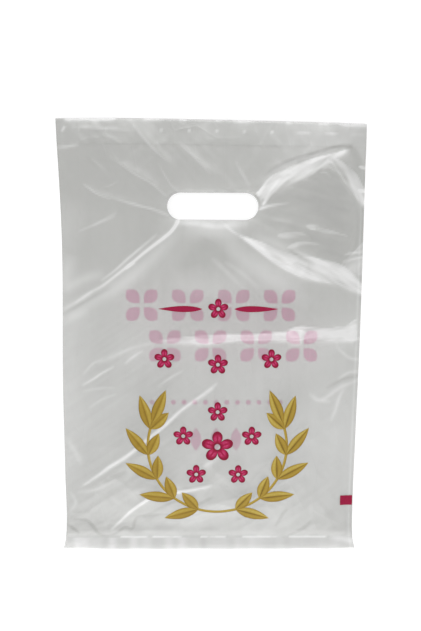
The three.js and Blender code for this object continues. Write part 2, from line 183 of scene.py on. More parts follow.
# Broad folds: each path's points, then its width and height as shares of the dictionary's values
holeFolds = [
    ([(-31, -13), (-50, -33), (-70, -52), (-92, -69), (-122, -88)], 1, 1.3),
    ([(-24, -20), (-44, -42), (-64, -60), (-84, -76)], 0.8, -0.7),
    ([(10, -13), (24, -28), (42, -40), (61, -52), (82, -67), (110, -76)], 1, 1.2),
    ([(40, -24), (63, -40), (96, -51), (114, -64)], 1.2, -0.8),
    ([(35, 8), (48, 26), (70, 35), (94, 43), (110, 48)], 1, 1.3),
    ([(42, 4), (58, 15), (75, 24), (87, 33), (112, 45)], 0.8, -0.7),
    ([(96, 36), (104, 26), (111, 17), (120, 8)], 0.9, 0.8),
    ([(-104, 16), (-85, 6), (-59, 1), (-37, -4)], 0.8, 0.7),
    ([(-80, 37), (-59, 24), (-39, 10)], 0.8, 0.8),
    ([(-62, 66), (-49, 50), (-35, 33), (-30, 14)], 0.9, 0.8),
    ([(-24, 45), (-7, 30), (14, 17)], 0.8, 0.8),
    ([(52, -24), (66, -21), (90, -19), (101, -25)], 0.9, 0.6)]
sealFolds = [
    ([(-42, 170), (-9, 172), (25, 175), (66, 176), (118, 174)], 1.1, 1),
    ([(-104, 135), (-92, 142), (-78, 150)], 0.8, 0.6),
    ([(90, 116), (100, 124), (113, 129), (124, 134)], 0.9, 0.9),
    ([(-105, 42), (-78, 61), (-52, 80), (-29, 100), (-8, 123), (12, 146)], 1, 1.2),
    ([(-100, 34), (-72, 52), (-46, 71)], 0.8, -0.6),
    ([(-82, 10), (-69, 23), (-53, 34), (-39, 43), (-20, 51)], 0.9, 0.8),
    ([(-8, 24), (14, 36), (30, 42)], 1.1, 0.5)]
broadFolds = [(np.array(points, float) + [holeX, holeY], wide, high) for points, wide, high in holeFolds]
broadFolds += [(np.array(points, float) + [0, sealY], wide, high) for points, wide, high in sealFolds]

# Sharp creases: path, width, height, whitening, where it is strongest. The whitening is partly the film's stress
# whitening and partly a painted highlight, and below 0 a painted shadow line
creases = [
    ([(-27, 99), (-29, 95), (-33, 90), (-39, 85), (-47, 79), (-56, 72), (-63, 66), (-72, 59), (-81, 52),
      (-89, 46), (-100, 40), (-113, 31)], 1.25, 0.4, 1.6, "start"),
    ([(-43, 89), (-56, 78), (-68, 68), (-78, 59), (-90, 50)], 1.05, 0.2, 0.65, "both"),
    ([(-70, 60), (-66, 63), (-61, 66)], 1.2, 0.2, 0.7, "both"),
    ([(-96, 42), (-108, 34), (-124, 25)], 1.8, 0.15, 0.4, "both"),
    ([(10, 97), (16, 92), (25, 86)], 1.0, 0.15, 0.5, "both"),
    ([(24, 87), (31, 82), (40, 75), (49, 68), (58, 62), (68, 57), (78, 52)], 1.1, 0.2, 0.7, "start"),
    ([(37, 119), (43, 129), (49, 137)], 1.1, 0.2, 0.5, "start"),
    ([(41, 112), (46, 121), (55, 134)], 1.1, 0.25, 0.6, "start"),
    ([(42, 113), (50, 123), (60, 132), (69, 137)], 1.1, 0.25, 0.6, "start"),
    ([(39, 109), (49, 112), (64, 114)], 1.1, 0.3, 1.0, "start"),
    ([(42, 135), (59, 145), (79, 152), (100, 159), (114, 161)], 2.0, -0.25, -0.85, "both"),
    ([(108, 65), (118, 79), (120, 97), (118, 112), (111, 128), (102, 140)], 1.4, -0.1, -0.2, "both"),
    ([(108, 72), (116, 74), (127, 75)], 1.1, 0.3, 0.5, "both"),
    ([(109, 66), (117, 69), (128, 71)], 1.1, 0.3, 0.5, "both"),
    ([(119, 144), (121, 143), (127, 142)], 1.1, 0.3, 0.9, "both"),
    ([(119, 125), (123, 124), (127, 123)], 1.1, 0.3, 0.9, "both"),
    ([(88, 141), (94, 143), (100, 139)], 1.1, 0.2, 0.4, "both"),
    ([(86, 138), (92, 138), (97, 134)], 1.1, 0.2, 0.4, "both"),
    ([(66, 76), (78, 71), (89, 67), (99, 64)], 1.7, 0.25, 0.5, "both"),
    ([(-82, 118), (-61, 112), (-46, 108), (-31, 102)], 1.0, 0.12, 0.5, "both"),
    ([(-104, 129), (-94, 122), (-80, 116)], 1.0, 0.12, 0.5, "both"),
    ([(-82, 150), (-61, 136), (-47, 128), (-34, 117)], 1.0, 0.12, 0.4, "both"),
    ([(-97, 149), (-92, 145), (-86, 139)], 1.0, 0.1, 0.25, "both"),
    ([(-66, 180), (-57, 168), (-43, 153), (-32, 144)], 1.1, 0.12, 0.35, "both"),
    ([(-43, 146), (-36, 133), (-28, 122)], 1.0, 0.1, 0.25, "both"),
    ([(-27, 162), (-12, 148), (0, 136)], 1.1, 0.1, 0.25, "both"),
    ([(19, 147), (25, 136), (32, 125)], 1.1, 0.1, 0.25, "both"),
    ([(-88, 126), (-81, 127), (-74, 131)], 1.0, 0.1, 0.2, "both"),
    ([(-108, 90), (-92, 97), (-75, 106)], 1.0, 0.1, 0.25, "both"),
    ([(-96, 95), (-86, 99), (-77, 103)], 1.0, 0.1, 0.25, "both"),
    ([(-93, -18), (-79, -11), (-60, -3), (-36, 2)], 1.4, 0.12, 0.2, "both"),
    ([(-107, -37), (-97, -31), (-90, -26), (-79, -20)], 1.05, 0.15, 0.6, "both"),
    ([(-71, -18), (-64, -12), (-55, -6)], 1.2, 0.12, 0.45, "both"),
    ([(-44, -37), (-33, -29), (-22, -23)], 1.1, 0.12, 0.25, "both"),
    ([(-107, -42), (-94, -39), (-79, -38)], 1.1, 0.12, 0.2, "both"),
    ([(-101, -56), (-90, -48), (-77, -43)], 1.1, 0.12, 0.2, "both"),
    ([(-106, -28), (-97, -18), (-88, -14)], 1.1, 0.12, 0.25, "both"),
    ([(104, 7), (111, 6), (117, 2), (127, 3)], 1.3, 0.15, 0.4, "both"),
    ([(103, -2), (111, -9.6), (118, -14), (128, -15)], 1.3, 0.15, 0.3, "both"),
    ([(92, -48), (98, -45), (105, -40), (113, -36), (128, -31)], 1.8, 0.3, 0.4, "both"),
    ([(96, -39), (106, -33.5), (113, -30.5), (128, -28.5)], 1.6, -0.15, -0.25, "both"),
    ([(106, -31.5), (115, -26), (128, -25)], 1.3, 0.12, 0.3, "both"),
    ([(113, -38), (108, -46), (105, -57), (101, -67)], 1.6, 0.2, 0.35, "both"),
    ([(82, -42), (88, -47.5), (93, -48.6), (101, -50)], 1.8, 0.2, 0.35, "both"),
    ([(6, -33), (-5, -42), (-24, -56), (-38, -69), (-53, -82), (-70, -96), (-85, -106), (-95, -114),
      (-108, -123)], 1.25, 0.35, 0.85, "both"),
    ([(2, -122), (-5, -124), (-20, -127), (-38, -129), (-48, -132), (-57, -138), (-67, -146), (-76, -155),
      (-85, -164)], 1.25, 0.35, 1.3, "both"),
    ([(-115, -130), (-100, -127), (-89, -123), (-78, -116)], 1.6, 0.12, 0.25, "both"),
    ([(-123, -158), (-117, -162), (-111, -167)], 1.3, -0.25, -0.4, "both"),
    ([(-117, -154), (-105, -155), (-99, -161), (-95, -167), (-86, -170)], 1.2, -0.2, -0.4, "both"),
    ([(-90, -170), (-80, -166), (-73, -161), (-66, -162), (-63, -153), (-55, -150), (-38, -149), (-30, -151)],
     1.2, -0.2, -0.33, "both"),
    ([(66, -143), (61, -151), (56, -161)], 1.4, -0.2, -0.3, "both"),
    ([(88, -154), (78, -163), (67, -169)], 1.4, -0.25, -0.35, "both"),
    ([(-120, 169), (-117, 174)], 1.1, 0.3, 0.65, "both"),
    ([(-124, 157), (-114, 158), (-106, 159)], 1.1, 0.12, 0.4, "both"),
    ([(-112, 173), (-90, 172), (-64, 170)], 1.1, 0.1, 0.3, "both"),
    ([(-87, 168), (-78, 164), (-71, 160)], 1.1, 0.1, 0.2, "both")]
creases = [(smoothPath(points), *rest) for points, *rest in creases]

# Flat bands between a crest and a foot: both paths, slope, how far the crest's back reaches, the
# painted highlight at the crest and at the foot, and the direction of the band's fine streaks in degrees
bands = [
    ([(40, 112), (51, 121), (65, 128), (79, 134.5), (88, 140.5), (98, 146), (114, 157)],
     [(37, 123), (43, 131), (50, 137), (64, 143.5), (80, 150), (97, 154.5), (114, 160)],
     0.16, 3, 0.2, 0.8, 32),
    ([(93, 150), (104, 136), (111, 126), (122, 114), (132, 104)],
     [(97, 152), (107, 147), (118, 138), (124, 128), (132, 120)], 0.2, 3, 0.8, 0.35, -55),
    ([(24, 87), (31, 82), (40, 75), (49, 68), (58, 62), (68, 57), (79, 52), (91, 50), (104, 48), (115, 43),
      (125, 39), (137, 34)],
     [(24, 88), (35, 85), (46, 81), (55, 77), (64, 74), (73, 72), (82, 71), (91, 69), (104, 66), (115, 59),
      (125, 49), (137, 42)], 0.1, 4, 0.78, 0.38, -29),
    ([(105, 62), (119, 57), (134, 52)], [(104, 66), (113, 72), (119, 78), (132, 90)], 0.06, 3, 0.3, 0.3, 40),
    ([(53, 88), (58, 86), (71, 86), (82, 84)], [(53, 89), (60, 91), (74, 91), (83, 85)], 0.06, 3, 0.6, 0.2, -10),
    ([(61, 78), (67, 78), (74, 81), (90, 81)], [(61, 79), (66, 82), (74, 84), (90, 82.5)], 0.15, 3, 0.5, 0.2, 10),
    ([(76, 96), (81, 92), (92, 90), (103, 89), (113, 87)],
     [(76, 97), (83, 97), (91, 95), (100, 92), (113, 88.5)], 0.15, 3, 0.5, 0.25, -15),
    ([(-44, 0), (-16, 0), (-5, 0), (14, 2), (32, 3), (60, 3), (80, 4)],
     [(-44, 3), (-16, 6), (-5, 7), (14, 8), (32, 8), (56, 10), (80, 12)], 0.2, 4, 1.5, 0.4, 4),
    ([(62, 3), (75, 3.5), (86, 3), (97, 1.5), (107, 1), (115, 1.2), (123, 1.5)],
     [(62, 12), (74, 14.5), (85, 13.5), (97, 12.5), (104, 13.5), (111, 14), (117, 18), (123, 21)],
     0.12, 4, 0.85, 0.5, 8),
    ([(4, -34), (-5, -42), (-24, -56), (-38, -69), (-53, -82), (-70, -96), (-85, -106), (-95, -114), (-112, -126)],
     [(6, -36), (-3, -44), (-22, -58), (-36, -71), (-51, -84), (-68, -98), (-83, -108), (-94, -116), (-111, -128)],
     0.16, 3, 0.3, 0.1, 37),
    ([(-29, -156), (-14, -147), (-5, -142), (4, -139), (15, -141), (34, -146)],
     [(-27, -163), (-8, -160), (5, -155), (15, -153), (36, -153)], 0.01, 3, 0.2, 0.0, 20)]
bands = [(smoothPath(crest), smoothPath(foot), *rest) for crest, foot, *rest in bands]

# Soft light and dark strokes painted into the film's colour, painted highlight and painted shade: path, width,
# whitening
paintedLightStrokes = [
    ([(-23, 94), (-37, 80), (-49, 68), (-60, 58), (-76, 45), (-93, 36), (-118, 19)], 5.5, 0.35),
    ([(-29, 98), (-13, 97), (3, 95)], 2.5, 0.5), ([(-8, 96), (6, 95), (15, 96), (30, 96)], 2.5, 0.5),
    ([(-22, 94), (2, 92), (24, 93)], 7, 0.32), ([(8, 93), (17, 79), (31, 65), (55, 49), (83, 32)], 7, 0.2),
    ([(-2, 86), (-12, 72), (-28, 58)], 7, -0.13), ([(-2, 86), (8, 72), (22, 58)], 6, -0.1),
    ([(-3, 88), (-3, 72), (-4, 58)], 8, -0.1), ([(-34, 50), (-4, 44), (30, 46)], 9, 0.14), ([(30, 74), (48, 58), (72, 44)], 9, 0.12),
    ([(0, 70), (13, 58), (26, 45)], 1.8, 0.2), ([(10, 67), (24, 58), (40, 44)], 1.8, 0.2),
    ([(-121, 40), (-118, 56), (-114, 72)], 6, 0.22), ([(-122, 40), (-105, 51), (-86, 57)], 4, 0.25),
    ([(-124, 15), (-113, 21), (-100, 26)], 4, 0.2), ([(-124, 21), (-100, 35), (-80, 46)], 1.8, -0.25),
    ([(32, 87), (50, 82), (60, 77), (72, 70)], 4, 0.3), ([(60, 78), (73, 70), (85, 64)], 1.8, -0.4),
    ([(80, 59), (95, 59), (109, 56), (122, 48)], 5, 0.45), ([(86, 75), (100, 71), (113, 70)], 3, -0.25), ([(86, 98), (98, 102), (108, 100)], 6, -0.1),
    ([(-92, -121), (-81, -115), (-70, -110)], 2.2, -0.4), ([(-12, -131), (-31, -137), (-42, -143), (-58, -152)], 1.8, -0.25),
    ([(-25, -151), (-14, -142), (4, -132)], 1.6, -0.35), ([(-99, -20), (-88, -14), (-79, -11), (-64, -3)], 2.6, 0.1),
    ([(9, -93), (0, -102), (-6, -106)], 2.5, 0.4), ([(-121, -82), (-113, -95), (-108, -106)], 2.4, 0.2),
    ([(-119, -129), (-114, -139), (-120, -148)], 1.6, 0.25),
    ([(110, 161), (117, 152), (119, 138)], 3, -0.35),
    ([(42, 96), (52, 98), (66, 101)], 7, 0.14),
    ([(103, -170.5), (114, -172), (124, -174), (128, -175)], 2.6, 0.45)]
paintedLightStrokes = [(smoothPath(points), *rest) for points, *rest in paintedLightStrokes]


def stadiumDistance(x, y):
    # Distance to the hand hole's outline, which is a straight run with round ends, below 0 inside
    radius = bag["holeHeight"] / 2
    straight = bag["holeWidth"] / 2 - radius
    beyond = np.maximum(np.abs(x - holeX) - straight, 0)
    return np.hypot(beyond, y - holeY) - radius


def sideShare(x, y):
    # 0 in the middle between the side folds, 1 on a side fold
    left, right = leftEdge(y), rightEdge(y)
    return np.minimum(1, np.abs((2 * x - left - right) / (right - left)))


def creaseFade(along, strongest):
    if strongest == "start":
        return (1 - along) ** 0.6 * smoothStep(along, -0.08, 0.03)
    return np.sin(np.pi * np.clip(along, 0, 1)) ** 0.6


def randomCrinkles():
    # Straight faint creases, laid at random and mostly aslant
    draw = np.random.default_rng(bag["crinkleSeed"])
    lines = []
    for _ in range(bag["crinkles"]):
        middle = np.array([draw.uniform(-112, 112), draw.uniform(-158, 170)])
        angle = math.radians(draw.choice([35, 50, -35, -50, 8]) + draw.normal(0, 12))
        reach = draw.uniform(8, 34)
        step = reach * np.array([math.cos(angle), math.sin(angle)])
        bow = draw.uniform(-0.12, 0.12) * reach * np.array([-math.sin(angle), math.cos(angle)])
        path = np.array([middle - step, middle + bow, middle + step])
        height = draw.uniform(0.06, 0.2) * draw.choice([1, 1, -1])
        lines.append((path, draw.uniform(0.9, 2.2), draw.uniform(0.9, 2.2), height))
    return lines


crinkleLines = randomCrinkles()


def broadHeight(x, y):
    # Edge height plus a crown of 1 - side^power, plus broad folds, plus gathers at the weld
    side = sideShare(x, y)
    middle = middleRise(y)
    edge = mix(bag["foldRise"], bag["hemFoldRise"], smoothStep(y, hemY - bag["hemDepth"], hemY))
    edge = np.minimum(edge, middle)
    offWeld = np.abs(y - sealY) - halfSeal
    calm = smoothStep(1 - side, 0, 0.16) * smoothStep(offWeld, 2, 34)
    folds = np.zeros(x.shape)
    for path, wide, high in broadFolds:
        away, _, along = pathField(path, x, y)
        fade = 0.35 + 0.65 * np.sin(np.pi * along)
        folds += high * fade * np.exp(-(away / (bag["ridgeWidth"] * wide)) ** 2)
    height = edge + (middle - edge) * (1 - side ** bag["crownPower"]) + bag["ridgeHeight"] * calm * folds
    gathered = smoothStep(1 - side, 0, 0.1) * smoothStep(offWeld, 0, 5)
    wave = np.cos(tau * x / bag["puckerPitch"]) * np.cos(tau * x / (4.3 * bag["puckerPitch"]))
    above = bag["puckerHeight"] * (1 + wave) * np.exp(-(offWeld / bag["puckerReach"]) ** 2)
    below = bag["skirtWave"] * (1 + np.sin(tau * x / bag["skirtWavePitch"])) / 2
    return height + gathered * np.where(y > sealY, above, below)


def bandHeight(x, y):
    # Each band climbs evenly from its foot to its crest, then falls off as exp(-distance / reach)
    total = np.zeros(x.shape)
    for crest, foot, slope, reach, *_ in bands:
        offFoot, offCrest, fade, _, _ = bandPlace(crest, foot, x, y)
        total += slope * fade * np.maximum(offFoot - offCrest, 0) * np.exp(-offCrest / reach)
    return total


def bandPlace(crest, foot, x, y):
    # Distance up from the foot, distance past the crest, a fade at both ends, 1 inside the band, and
    # the share of the way from the crest to the foot
    toFoot, footSide, _ = pathField(foot, x, y)
    toCrest, crestSide, along = pathField(crest, x, y)
    bandSide = pathField(crest, foot[len(foot) // 2:, 0][:1], foot[len(foot) // 2:, 1][:1])[1][0]
    within = 0.5 + 0.5 * np.tanh(toCrest * crestSide * bandSide / bag["bandSoft"])
    offFoot = toFoot * np.where(footSide == -bandSide, 1, 0)
    offCrest = toCrest * np.where(crestSide == -bandSide, 1, 0)
    fade = smoothStep(along, 0, 0.06) * (1 - smoothStep(along, 0.94, 1))
    share = toCrest / np.maximum(toCrest + toFoot, 0.01)
    return offFoot, offCrest, fade, within * smoothStep(offFoot, 0, 1.2), share


def restlessness(x, y):
    # 1 where the film is full of small facets, less where it is taut above the hand hole
    besideHole = smoothStep(x, 20, 60) * (1 - smoothStep(y, 125, 150))
    return 0.15 + 0.85 * np.maximum(smoothStep(60 - y, 0, 60), besideHole)


def creaseHeight(x, y):
    # Each crease falls off as exp(-distance / width), random ones with a width for either side
    total = np.zeros(x.shape)
    for path, width, height, _, strongest in creases:
        away, _, along = pathField(path, x, y)
        rounded = np.hypot(away, 0.5) - 0.5
        total += height * np.exp(-rounded / width) * creaseFade(along, strongest)
    calm = 0.4 + 0.6 * restlessness(x, y)
    for path, leftWidth, rightWidth, height in crinkleLines:
        away, side, along = pathField(path, x, y)
        rounded = np.hypot(away, 0.6) - 0.6
        fall = np.exp(-rounded / np.where(side > 0, leftWidth, rightWidth))
        total += calm * height * fall * np.sin(np.pi * np.clip(along, 0, 1))
    return total


def frontHeight(x, y):
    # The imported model's front, with sharp creases, slow swells, gathers and a curl at the hand hole
    side = sideShare(x, y)
    offWeld = np.abs(y - sealY) - halfSeal
    free = smoothStep(1 - side, 0, 0.05) * smoothStep(offWeld, 0.5, 12)
    calm = restlessness(x, y)
    swell = 0.35 * streaks(x, y, 35, 46, 26, 3) + 0.25 * streaks(x, y, -30, 34, 20, 4)
    facets = 0.35 * np.abs(streaks(x, y, 40, 60, 24, 12)) + 0.28 * np.abs(streaks(x, y, -38, 44, 18, 13))
    facets = facets + 0.2 * np.abs(streaks(x, y, 35, 30, 8, 14))
    fine = 0.08 * streaks(x, y, 60, 30, 5, 5) + 0.06 * streaks(x, y, -48, 26, 4, 6)
    height = broadHeight(x, y) + free * (creaseHeight(x, y) + bandHeight(x, y) + calm * (swell - facets) + fine)
    gathers = streaks(x, y, 90, 9, 3.1, 8) + 0.6 * streaks(x, y, 90, 7, 1.9, 9)
    atWeld = np.exp(-(offWeld / 5.5) ** 2) * smoothStep(offWeld, 0, 2)
    height = height + 0.16 * smoothStep(1 - side, 0, 0.04) * atWeld * gathers
    rim = np.exp(-((mouthY - y) / 5) ** 2) * smoothStep(1 - side, 0, 0.06)
    height = height + 0.3 * rim * streaks(x, y, 0, 13, 40, 10)
    lip = bag["holeLip"] * np.exp(-np.maximum(stadiumDistance(x, y), 0) / bag["lipReach"])
    height = height + lip
    lowest = np.where(y > sealY, 0.75, 0.6)
    return np.maximum(height, lowest)


def backHeight(x, y):
    # The back lies on the floor with shallow wrinkles, the square of a noise, flat at the weld
    wrinkle = 0.5 + 0.5 * (0.6 * streaks(x, y, 40, 50, 22, 21) + 0.4 * streaks(x, y, -35, 30, 12, 22))
    free = smoothStep(1 - sideShare(x, y), 0, 0.05) * smoothStep(np.abs(y - sealY), 1, 10)
    return 0.1 + 0.45 * free * wrinkle ** 2


spots = {
    "pitch": 22, "sideClear": 14, "belowMouth": 8.5, "radius": 1.4, "shift": 4,
    "clearFrom": -30, "dashFrom": 62, "dash": 5.5,  # where the marks start to show, and to be dashes
}
spotReach = int((bag["width"] / 2 - spots["sideClear"]) // spots["pitch"])
spotPlaces = [(k * spots["pitch"] + spots["shift"], mouthY - spots["belowMouth"])
              for k in range(-spotReach, spotReach + 1)]


def nearSpots(x, y, radius):
    # 1 in the middle of a spot weld, falling off as a bell
    return sum(np.exp(-(((x - px) ** 2 + (y - py) ** 2) / radius ** 2)) for px, py in spotPlaces)


def spotMarks(x, y):
    # White marks of the spot welds, faint on the left and drawn out on the right
    total = np.zeros(x.shape)
    for px, py in spotPlaces:
        dashed = px > spots["dashFrom"]
        wide, tall = (spots["dash"], 0.8) if dashed else (1.3, 1.2)
        seen = 0.12 + 0.4 * smoothStep(px, spots["clearFrom"] - 25, spots["clearFrom"])
        seen *= 1 - 0.7 * smoothStep(px, 100, 110)
        total += seen * np.exp(-((x - px - 3.5 * dashed) / wide) ** 4 - ((y - py + 0.6) / tall) ** 2)
    return total


def drooped(x, row):
    # The mouth's right part lies lower, by a power of the way to its corner
    toCorner = np.clip((x - bag["dropStart"]) / (bag["width"] / 2 - bag["dropStart"]), 0, 1)
    drop = bag["cornerDrop"] * toCorner ** bag["dropPower"]
    return row - drop * smoothStep(row, hemY - bag["hemDepth"], mouthY)


def darkerFan(x, y):
    # A darker fan of film from the hand hole's right end, 1 inside and 0 outside
    dx, dy = x - 22, y - 108
    turn = np.degrees(np.arctan2(dy, dx))
    sides = smoothStep(turn, -32, -22) * (1 - smoothStep(turn, 20, 30))
    return sides * smoothStep(np.hypot(dx, dy), 16, 30) * (1 - smoothStep(x + 0.05 * np.abs(y - 100), 106, 120))


def frontMilkAndPaintedLight(x, y):
    # How white the front looks: whiter skirt and welds, crease lines that are partly stress whitening and partly
    # painted highlight and shadow, painted highlight over bands and strokes, and broad patches of painted light and
    # shade
    milkAndPaintedLight = np.full(x.shape, 0.0)
    # Crease lines: partly stress whitening, partly painted highlight and painted shadow
    for path, width, _, whiteningAndPaintedLight, strongest in creases:
        away, _, along = pathField(path, x, y)
        milkAndPaintedLight += whiteningAndPaintedLight * np.exp(-(away / width) ** 2) * creaseFade(along, strongest)
    for path, width, whiteningAndPaintedLight in paintedLightStrokes:
        away, _, along = pathField(path, x, y)
        milkAndPaintedLight += whiteningAndPaintedLight * np.exp(-(away / width) ** 2) * creaseFade(along, "both")
    # Painted highlight over the flat bands, with fine streaks through it
    for crest, foot, _, _, paintedHighlightAtCrest, paintedHighlightAtFoot, grain in bands:
        _, _, fade, within, share = bandPlace(crest, foot, x, y)
        grained = streaks(x, y, grain, 16, 2.9, 41) + 0.6 * streaks(x, y, grain, 9, 1.7, 42)
        grained = 1 + bag["bandGrain"] * grained
        milkAndPaintedLight += mix(paintedHighlightAtCrest, paintedHighlightAtFoot, share) * fade * within * grained
    milkAndPaintedLight += spotMarks(x, y)
    # Painted light: a lighter hem band over its lower edge, where the plies' shade would fall
    milkAndPaintedLight += bag["hemEdgePaintedLight"] * (0.85 * smoothStep(y, hemY - 1.5, hemY + 1.5) + 0.15 * smoothStep(y, hemY, hemY + 9))
    # Painted highlight below the hand hole and painted shadow along its upper edge
    milkAndPaintedLight += 0.35 * np.exp(-np.maximum(stadiumDistance(x, y), 0) / 4) * smoothStep(holeY - y, 8, 12)
    milkAndPaintedLight -= 0.9 * np.exp(-((stadiumDistance(x, y) - 0.4) / 0.9) ** 2) * smoothStep(y - holeY, 2, 8)
    # Painted highlight along the mouth's rounded rim
    rim = np.exp(-((mouthY - y) / 2.2) ** 2)
    milkAndPaintedLight += rim * (0.15 + smoothStep(-x, 74, 84) * (1 - smoothStep(-x, 112, 118)) + smoothStep(x, 101, 106)
                   + 0.6 * smoothStep(streaks(x, y, 0, 7, 40, 36), 0.1, 0.5))
    milkAndPaintedLight += 0.3 * smoothStep(sealY - y, -0.3, 1.2)
    blotches = 0.5 + 0.5 * streaks(x, y, 90, 24, 6, 31)
    blotches = 0.5 + (blotches - 0.5) * (1 - 0.55 * smoothStep(x, 0, 50))
    milkAndPaintedLight += (0.45 * blotches - 0.1 - 0.09 * smoothStep(x, 20, 70)) * smoothStep(sealY - y, 0, 1)
    seal = np.exp(-((y - sealY) / 0.75) ** 2)
    dashes = streaks(x, y, 0, 13, 8, 32) + 0.5 * streaks(x, y, 0, 4.5, 8, 43)
    milkAndPaintedLight += seal * (0.15 + 0.65 * smoothStep(dashes, 0, 0.45))
    milkAndPaintedLight += 0.035 * streaks(x, y, 34, 22, 2.4, 37) * smoothStep(-x, -10, 60) * smoothStep(40 - y, 0, 50)
    # Painted highlight along the right side fold
    milkAndPaintedLight += 0.2 * np.exp(-((rightEdge(y) - 3.2 - x) / 0.9) ** 2) * smoothStep(150 - y, 0, 100)
    milkAndPaintedLight += 0.06 * streaks(x, y, 30, 40, 24, 33) + 0.02 * streaks(x, y, 90, 60, 5, 34)
    # Broad painted light and shade: lighter lower half, lighter sides low down, lighter upper right, far left and
    # lower right, a darker patch up left of the middle, and a lighter band on the left
    milkAndPaintedLight += 0.25 * smoothStep(-y, -110, 20) * (1 - 0.4 * smoothStep(-y, 100, 160))
    milkAndPaintedLight += 0.05 * smoothStep(np.abs(x + 4), 85, 118) * smoothStep(60 - y, 0, 60)
    milkAndPaintedLight += 0.27 * smoothStep(x, 20, 95) * smoothStep(y, 135, 160) + 0.1 * smoothStep(-x, 95, 120)
    milkAndPaintedLight += 0.1 * smoothStep(x, 50, 100) * smoothStep(-25 - y, 0, 40) * smoothStep(y, -150, -110)
    milkAndPaintedLight -= 0.1 * smoothStep(y, 110, 135) * smoothStep(30 - x, 0, 60) * (1 - smoothStep(y, 150, 160))
    milkAndPaintedLight += 0.05 * smoothStep(-x, 40, 80) * smoothStep(y, 60, 80) * (1 - smoothStep(y, 100, 120))
    fanStreaks = 0.16 * streaks(x, y, -14, 22, 3, 38) + 0.1 * streaks(x, y, 10, 14, 6, 39)
    return milkAndPaintedLight - darkerFan(x, y) * (0.18 + fanStreaks)


def backMilk(x, y):
    # The back is whiter, as light that comes through the front brightens it
    return 0.8 + 0.05 * streaks(x, y, 20, 40, 24, 35)



def makePiece(name, points, faces, material):
    # Points come in millimetres
    mesh = bpy.data.meshes.new(name)
    mesh.from_pydata((np.asarray(points) * metre).tolist(), [], [tuple(face) for face in faces])
    mesh.validate()
    mesh.shade_smooth()
    mesh.materials.append(material)
    piece = bpy.data.objects.new(name, mesh)
    bpy.context.scene.collection.objects.link(piece)
    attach(piece, "root")
    return piece


def addAttribute(piece, name, values):
    layer = piece.data.attributes.new(name, "FLOAT", "POINT")
    layer.data.foreach_set("value", np.asarray(values, np.float32).ravel())


def gridFaces(rows, columns, closed=False):
    # Quads over a grid whose points run along each row in turn
    grid = np.arange(rows * columns).reshape(rows, columns)
    following = np.roll(grid, -1, axis=1)
    if not closed:
        grid, following = grid[:, :-1], following[:, :-1]
    return np.stack([grid[:-1], following[:-1], following[1:], grid[1:]], -1).reshape(-1, 4)


def keptFaces(faces, inside):
    # Faces clear of the hole stay, and one with a single corner in it keeps its other three
    count = inside[faces].sum(1)
    whole = [tuple(face) for face in faces[count == 0].tolist()]
    cut = faces[count == 1]
    corner = np.argmax(inside[cut], axis=1)
    order = (corner[:, None] + np.array([1, 2, 3])) % 4
    return whole + [tuple(face) for face in np.take_along_axis(cut, order, axis=1).tolist()]


def backShares():
    # Shares of the way across the back, from right to left, closer together round the hand hole
    places, place = [], -bag["width"] / 2
    while place < bag["width"] / 2:
        places.append(place)
        place += bag["backStepAtHole"] if abs(place - holeX) < 42 else bag["backStep"]
    return 1 - np.array(places + [bag["width"] / 2]) / bag["width"] - 0.5


def filmRows():
    # Each row's place along the bag, and how far it lies inside the outer surface
    gap, round_ = bag["hemGap"], bag["rimRound"]
    rows = int(bag["length"] / bag["rowPitch"])
    outer = np.concatenate([np.linspace(skirtY, sealY, 8)[:-1], np.linspace(sealY, mouthY - round_, rows - 7)])
    turn = np.linspace(0, np.pi, 9)[1:-1]
    rimY, rimInset = mouthY - round_ + round_ * np.sin(turn), round_ * (1 - np.cos(turn))
    inner = np.linspace(mouthY - round_, hemY, 13)
    innerInset = gap + (2 * round_ - gap) * np.exp(-(mouthY - round_ - inner) / 3)
    places = np.concatenate([outer, rimY, inner])
    return places, np.concatenate([np.zeros(rows), rimInset, innerInset])


